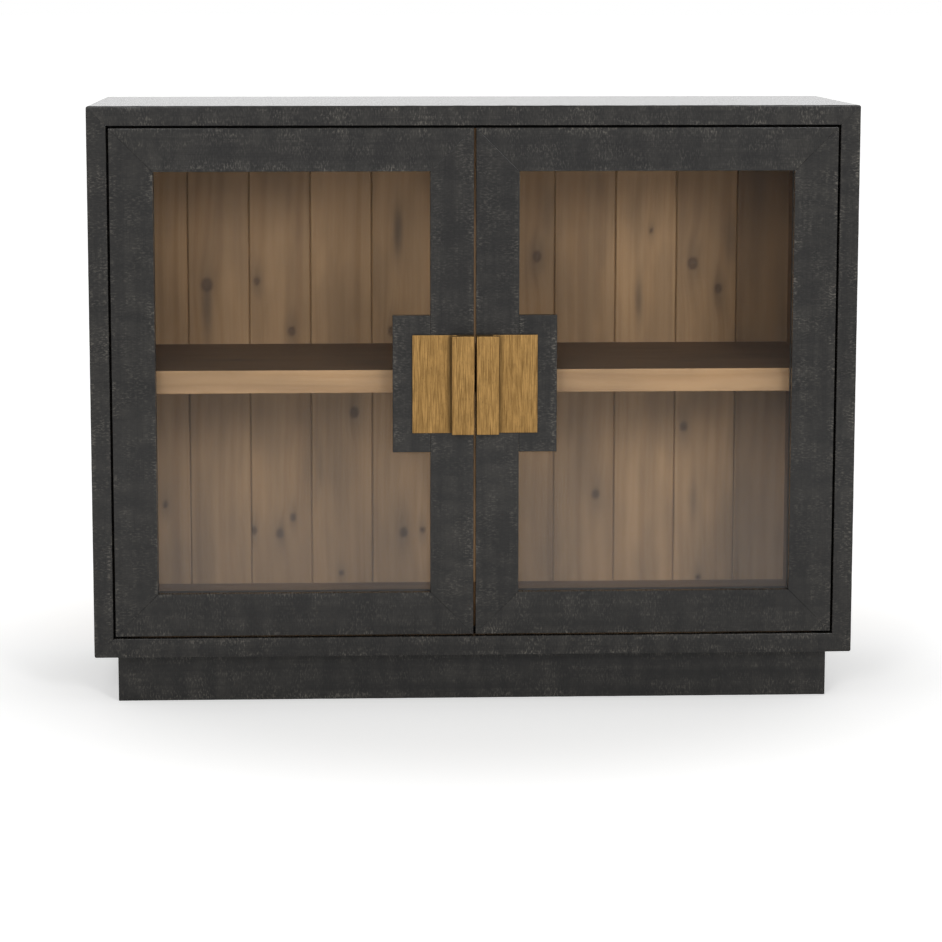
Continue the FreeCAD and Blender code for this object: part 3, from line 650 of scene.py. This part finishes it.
# In metres: how far a rebate is wider than its glass; from a hinge cup's rim to its centre; the radius
# of a cup's recess and of a screw's, and the play round both. Then how far behind the front a cup's
# recess starts, how deep a screw's is, and a depth past the door's rear.
glass_play, rim_to_centre, cup_radius, head_radius, play = 0.001, 0.023, 0.02, 0.004, 0.00005
cup_floor, seat_deep, past_rear = 0.0059, 0.003, 0.04
for hand, side in (("left", -1), ("right", 1)):
    body = f"{hand}_door"
    inward = X if side < 0 else LEFTWARD
    outward = LEFTWARD if side < 0 else X
    hinge_low, hinge_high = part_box(f"{body}_hinge_stile")
    meet_low, meet_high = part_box(f"{body}_meeting_stile")
    glass_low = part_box(f"{body}_glass")[0]
    frame_wide = hinge_high.x - hinge_low.x
    door_deep = hinge_high.y - hinge_low.y
    pane_front = glass_low.y - hinge_low.y
    narrow = glass_low.z - hinge_low.z - glass_play
    section = [(0, 0), (frame_wide, 0, 0.0002), (frame_wide, pane_front), (narrow, pane_front),
               (narrow, door_deep), (0, door_deep)]
    outer_x = hinge_low.x if side < 0 else hinge_high.x
    meet_x = meet_high.x if side < 0 else meet_low.x
    door_low, door_high = hinge_low.z, hinge_high.z
    wide, tall = abs(outer_x - meet_x), door_high - door_low
    # Round recesses behind: two for the hinge cups and two for the heads of the pull's screws.
    cups_low, cups_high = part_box(f"{body}_hinge_cups")
    cup_x = (cups_low.x + cups_high.x) / 2
    cup_places = ((cup_x, cups_low.z + rim_to_centre), (cup_x, cups_high.z - rim_to_centre))
    heads_low, heads_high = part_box(f"{body}_pull_screws")
    head_x = (heads_low.x + heads_high.x) / 2
    screw_places = ((head_x, heads_low.z + head_radius), (head_x, heads_high.z - head_radius))
    seat = FRONT_Y + door_deep - seat_deep
    for part, origin, axes, length in (
        ("top_rail", (outer_x, FRONT_Y, door_high), (inward, DOWN, Y), wide),
        ("bottom_rail", (outer_x, FRONT_Y, door_low), (inward, Z, Y), wide),
        ("hinge_stile", (outer_x, FRONT_Y, door_low), (Z, inward, Y), tall),
        ("meeting_stile", (meet_x, FRONT_Y, door_low), (Z, outward, Y), tall),
    ):
        seed = 100 + 10 * side + len(part)
        mesh = long_board(part, origin, axes, length, section, MITRED, seed, draw_in=0.0003)
        if part == "hinge_stile":
            mesh = bored(mesh, cup_places, cup_radius + play, FRONT_Y + cup_floor, FRONT_Y + past_rear)
        if part == "meeting_stile":
            mesh = bored(mesh, screw_places, head_radius + play, seat, FRONT_Y + past_rear)
        place_piece(f"{body}_{part}_timber", mesh, body, black, f"{body}_{part}")
    low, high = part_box(f"{body}_stepped_block")
    block_wide, block_deep = high.x - low.x, high.y - low.y
    joint_x = high.x if side < 0 else low.x
    section = [(0, 0, 0.0001), (block_wide, 0), (block_wide, block_deep), (0, block_deep, 0.0001)]
    mesh = long_board("block", (joint_x, low.y, low.z), (Z, outward, Y), high.z - low.z, section,
                      SQUARE, 140 + side)
    place_piece(f"{body}_stepped_block_timber", mesh, body, black, f"{body}_stepped_block")

# The glazing beads: thin black-stained strips pinned behind the glass, planed smooth, so only the
# pores show: marks 3 mm across, drawn the same whichever way a strip runs.
beading, tree = new_material("black_stained_beading")
place = add(tree, "TexCoord", {}, "Object")
pores = add(tree, "TexNoise", {"Vector": place, "Scale": 1000 / 3.0, "Detail": 3.0})
pore = add(tree, "MapRange", {0: pores, 1: 0.4, 2: 0.7}, **SMOOTH)
add(tree, "OutputMaterial", {"Surface": add(tree, "BsdfPrincipled", {
    "Base Color": add(tree, "Mix", {0: pore, 6: linear("#141312"), 7: linear("#32302c")}, **COLOUR),
    "Normal": add(tree, "Bump", {"Height": pores, "Strength": 0.3, "Distance": 0.0003}),
    "Roughness": add(tree, "MapRange", {0: pores, 1: 0.3, 2: 0.7, 3: 0.6, 4: 0.75}, **SMOOTH),
})})
for hand in ("left", "right"):
    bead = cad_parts[f"{hand}_door_glazing_beads"]
    bead.data.materials.clear()
    bead.data.materials.append(beading)

# ---------------------------------------------------------------------------------------------
# The glass: 4 mm clear float panes in the rebates. Nearly all the light goes through; a pane shows by a
# faint pale film, a painted reflection that is heavier low down, and by what it mirrors at a slant.
# ---------------------------------------------------------------------------------------------
clear, tree = new_material("clear_float_glass")
place = add(tree, "TexCoord", {}, "Object")
level = add(tree, "SeparateXYZ", {0: place}, "Z")
# Painted reflection: the pane is a little opaque and pale, more so low down.
painted_pale_reflection = add(tree, "MapRange", {0: level, 1: 0.62, 2: 0.14, 3: 0.006, 4: 0.055}, **SMOOTH)
slant = add(tree, "LayerWeight", {"Blend": 0.5}, "Facing")
mirrored = add(tree, "MapRange", {0: slant, 1: 0.45, 2: 1.0, 4: 0.5}, **SMOOTH)
add(tree, "OutputMaterial", {"Surface": add(tree, "BsdfPrincipled", {
    "Base Color": linear("#b4b6b8"),
    "Roughness": 0.02,
    "IOR": 1.52,
    "Alpha": add(tree, "Math", {0: painted_pale_reflection, 1: mirrored}, operation="ADD"),
})})
for hand in ("left", "right"):
    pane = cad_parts[f"{hand}_door_glass"]
    pane.data.materials.clear()
    pane.data.materials.append(clear)

# ---------------------------------------------------------------------------------------------
# The pulls: a 4 mm plate and a bar with a finger lip, in brass brushed upright and lacquered
# matt. Two screws from behind hold each.
# ---------------------------------------------------------------------------------------------
# Brushed brass under matt lacquer: a dull gold with fine upright lines, dark flecks and broad darker
# patches. The lines are drawn about 0.8 mm apart, coarser than the real ones, so that they show.
brass, tree = new_material("upright_brushed_brass")
place = add(tree, "TexCoord", {}, "Object")
marks = {}
for mark, across, along, detail in (
    ("lines", 0.8, 36.0, 3.0),
    ("flecks", 1.6, 5.0, 3.0),
    ("shades", 6.0, 20.0, 2.0),
):
    mapped = add(tree, "Mapping", {"Vector": place, "Scale": (1000 / across, 1000 / across, 1000 / along)})
    marks[mark] = add(tree, "TexNoise", {"Vector": mapped, "Scale": 1.0, "Detail": detail})
line = add(tree, "MapRange", {0: marks["lines"], 1: 0.33, 2: 0.67}, **SMOOTH)
gold = add(tree, "Mix", {0: line, 6: linear("#674c26"), 7: linear("#9c7a48")}, **COLOUR)
fleck = add(tree, "MapRange", {0: marks["flecks"], 1: 0.52, 2: 0.8, 4: 0.55}, **SMOOTH)
gold = add(tree, "Mix", {0: fleck, 6: gold, 7: linear("#54401f")}, **COLOUR)
shade = add(tree, "MapRange", {0: marks["shades"], 1: 0.45, 2: 0.75, 4: 0.35}, **SMOOTH)
gold = add(tree, "Mix", {0: shade, 6: gold, 7: linear("#5c4423")}, **COLOUR)
# Painted shadow of the bar's head on the plate beside it.
painted_bar_shadow = add(tree, "Attribute", {}, "Fac", attribute_name="painted_bar_shadow")
gold = add(tree, "Mix", {0: painted_bar_shadow, 6: gold, 7: linear("#1d150b")}, **COLOUR)
add(tree, "OutputMaterial", {"Surface": add(tree, "BsdfPrincipled", {
    "Base Color": gold,
    "Metallic": 0.85,
    "Roughness": add(tree, "MapRange", {0: marks["lines"], 1: 0.3, 2: 0.7, 3: 0.38, 4: 0.55}, **SMOOTH),
    "Normal": add(tree, "Bump", {"Height": marks["lines"], "Strength": 0.25, "Distance": 0.0003}),
})})

for hand, side in (("left", -1), ("right", 1)):
    body = f"{hand}_door"
    low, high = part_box(f"{body}_pull_plate")
    wide, plate_deep, tall = high.x - low.x, high.y - low.y, high.z - low.z
    # The bar's head hides 35 mm of the plate, from the meeting edge on; beside it the plate carries a
    # painted shadow of the head, darker on the left.
    covered = 0.035
    beside_bar = wide - covered if side < 0 else covered

    def painted_shadow_beside_bar(along, outline, beside_bar=beside_bar, depth=0.75 if side < 0 else 0.5):
        """The painted shadow is a bell across the plate, centred beside the bar and 3.5 mm to each side.
        """
        reach = ((outline[..., 0] - beside_bar) / 0.0035) ** 2
        return np.zeros_like(along), {"painted_bar_shadow": depth * np.exp(-reach)}

    mesh = long_board("plate", low, (Z, X, Y), tall, oblong(wide, plate_deep), SQUARE, 160 + side,
                      ease=0.001, wear=0.0001, spacing=0.0025, step=0.005, field=painted_shadow_beside_bar)
    place_piece(f"{body}_pull_plate_brass", mesh, body, brass, f"{body}_pull_plate")
    low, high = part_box(f"{body}_pull_bar")
    bar_wide, bar_deep = high.x - low.x, high.y - low.y
    # The bar's neck, its last 9 mm behind, is only 26 mm wide, which leaves room for fingertips.
    neck_wide, neck_deep = 0.026, 0.009
    head_deep = bar_deep - neck_deep
    section = [(0, bar_deep), (neck_wide, bar_deep), (neck_wide, head_deep),
               (bar_wide, head_deep), (bar_wide, 0), (0, 0)]
    meet_x = high.x if side < 0 else low.x
    away = LEFTWARD if side < 0 else X
    mesh = long_board("bar", (meet_x, low.y, low.z), (Z, away, Y), high.z - low.z, section, SQUARE,
                      170 + side, ease=0.0018, wear=0.0001, spacing=0.004, step=0.005)
    place_piece(f"{body}_pull_bar_brass", mesh, body, brass, f"{body}_pull_bar")

# ---------------------------------------------------------------------------------------------
# The hardware: two cup hinges a side with their pins, arms and raised plates, four pegged supports
# for the shelf, and the screws and nails. All of it is pressed or turned steel with bright nickel
# plate, a little dulled by handling, and screwed or driven in.
# ---------------------------------------------------------------------------------------------
nickel, tree = new_material("nickel_plated_steel")
place = add(tree, "TexCoord", {}, "Object")
dull = add(tree, "TexNoise", {"Vector": place, "Scale": 1000 / 6.0, "Detail": 3.0})
add(tree, "OutputMaterial", {"Surface": add(tree, "BsdfPrincipled", {
    "Base Color": add(tree, "Mix", {0: dull, 6: linear("#b9b5aa"), 7: linear("#8f8b80")}, **COLOUR),
    "Roughness": add(tree, "MapRange", {0: dull, 1: 0.3, 2: 0.7, 3: 0.22, 4: 0.4}, **SMOOTH),
    "Metallic": 1.0,
})})
for name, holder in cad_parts.items():
    if any(word in name for word in ("hinge_cups", "hinge_pins", "hinge_arms", "hinge_plates",
                                     "screws", "nails", "supports")):
        holder.data.materials.clear()
        holder.data.materials.append(nickel)

low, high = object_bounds()
